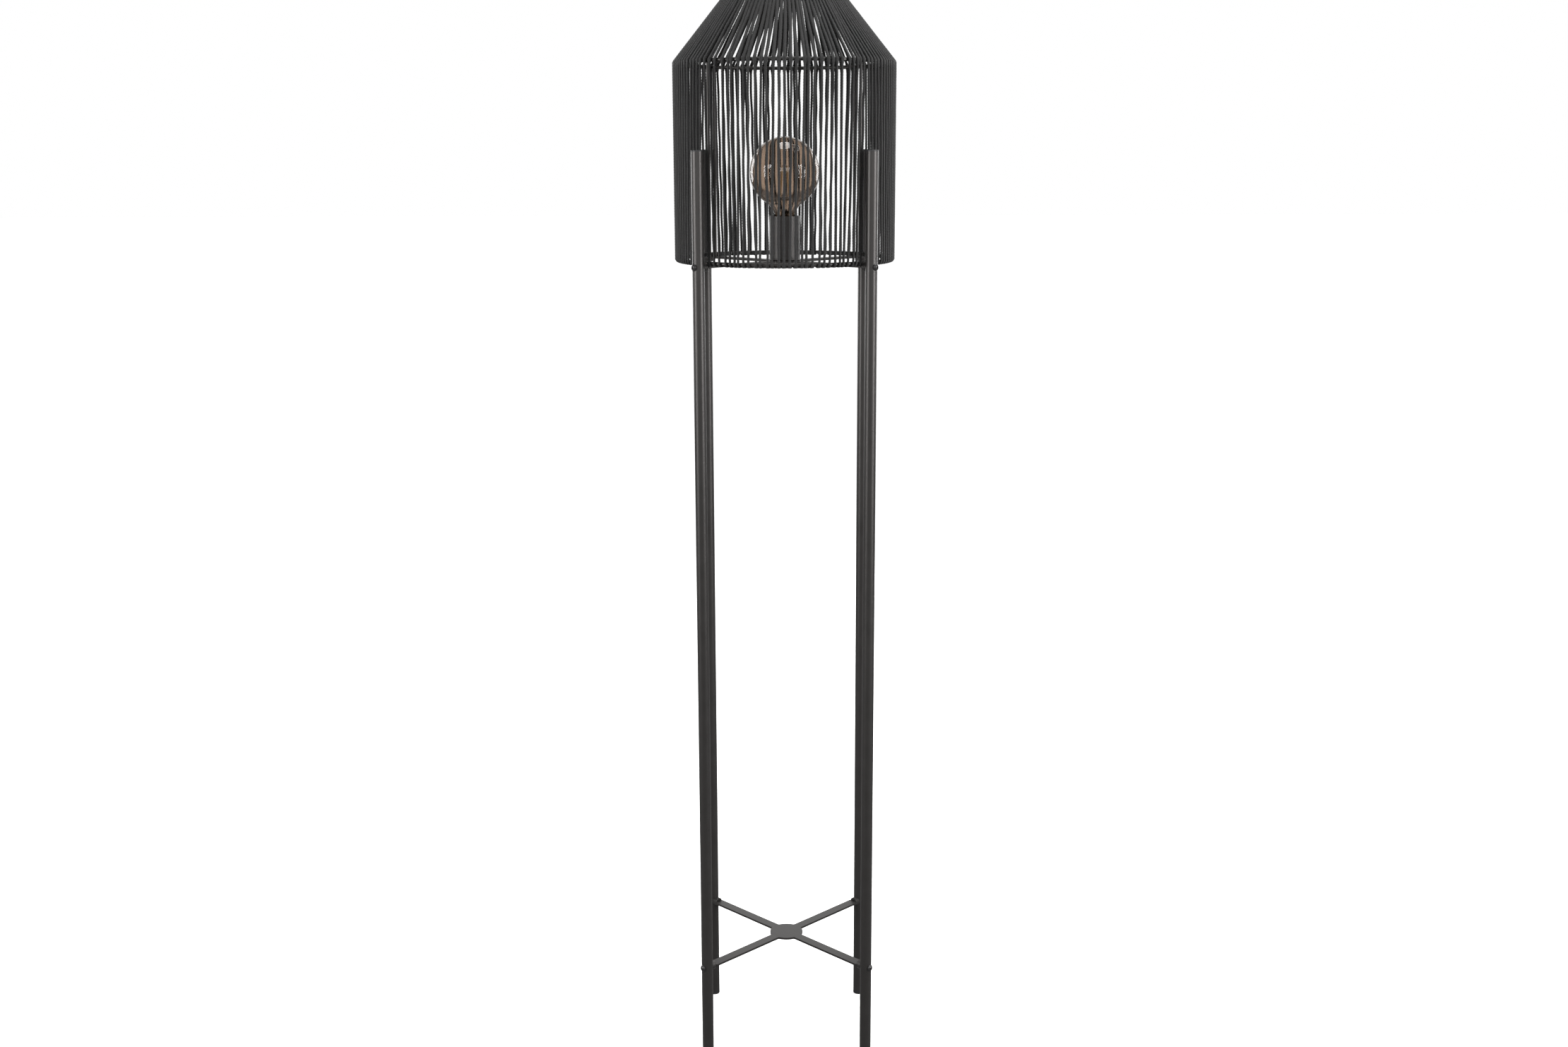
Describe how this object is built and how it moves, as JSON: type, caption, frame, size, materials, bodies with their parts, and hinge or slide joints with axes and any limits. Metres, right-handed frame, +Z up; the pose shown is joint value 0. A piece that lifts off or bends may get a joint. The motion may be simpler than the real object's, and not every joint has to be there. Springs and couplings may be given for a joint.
{
  "type": "floor lamp",
  "caption": "Floor lamp with slim black tube legs, cross braces, a lift-off twine-strung shade with a conical top, and a globe bulb.",
  "frame": {"origin": "on the floor, at the centre of the square of the four feet, on the lamp's upright axis", "axes": "+Z up along the lamp's axis; -Y is the front, with two legs on each side of it; +X is to the right seen from the front"},
  "size_m": [0.3, 0.3, 1.5],
  "materials": {
    "powder_coated_steel": "satin black powder coat, faint orange peel",
    "black_screws": "black oxide, satin",
    "black_plastic": "moulded black plastic, matte",
    "black_twine": "twisted black paper twine, matte with a faint sheen",
    "phenolic": "black phenolic moulding",
    "nickel_plate": "nickel plate, satin",
    "brass": "plain brass",
    "zinc_plated_steel": "zinc plate",
    "amber_glass": "amber tinted clear glass, glossy",
    "clear_glass": "clear glass",
    "black_glass": "black vitrite, glossy",
    "filament_coating": "yellow phosphor coating",
    "lead_wire": "drawn wire",
    "circuit_board": "green board"
  },
  "bodies": {
    "stand": {"leg_front_left": "powder_coated_steel", "leg_front_right": "powder_coated_steel", "leg_rear_left": "powder_coated_steel", "leg_rear_right": "powder_coated_steel", "foot_front_left": "black_plastic", "foot_front_right": "black_plastic", "foot_rear_left": "black_plastic", "foot_rear_right": "black_plastic", "leg_plug_front_left": "black_plastic", "leg_plug_front_right": "black_plastic", "leg_plug_rear_left": "black_plastic", "leg_plug_rear_right": "black_plastic", "lower_brace": "powder_coated_steel", "upper_brace": "powder_coated_steel", "lower_brace_screws": "black_screws", "upper_brace_screws": "black_screws", "lampholder_cup": "powder_coated_steel", "lampholder_base": "phenolic", "lampholder_body": "phenolic", "socket_shell": "nickel_plate", "terminal_block": "phenolic", "terminal_screws": "brass", "centre_contact_leaf": "brass", "cord_nipple": "zinc_plated_steel", "nipple_washer": "zinc_plated_steel", "nipple_locknut": "zinc_plated_steel"},
    "shade": {"shade_bottom_ring": "powder_coated_steel", "shade_shoulder_ring": "powder_coated_steel", "shade_top_ring": "powder_coated_steel", "shade_upright_front_left": "powder_coated_steel", "shade_upright_front_right": "powder_coated_steel", "shade_upright_rear_left": "powder_coated_steel", "shade_upright_rear_right": "powder_coated_steel", "shade_side_twine": "black_twine", "shade_cone_twine": "black_twine"},
    "bulb": {"bulb_glass": "amber_glass", "bulb_cap": "nickel_plate", "bulb_insulator": "black_glass", "bulb_contact": "nickel_plate", "bulb_stem": "clear_glass", "bulb_filaments": "filament_coating", "bulb_filament_leads": "lead_wire", "bulb_driver": "circuit_board"}
  },
  "joints": [
    {"name": "shade_lift", "type": "slide", "parent": "stand", "child": "shade", "axis": [0, 0, 1], "range_m": [0, 0.2]},
    {"name": "bulb_turn", "type": "hinge", "parent": "stand", "child": "bulb", "pos_m": [0, 0, 1.2], "axis": [0, 0, 1], "range_deg": [0, 1620]}
  ]
}
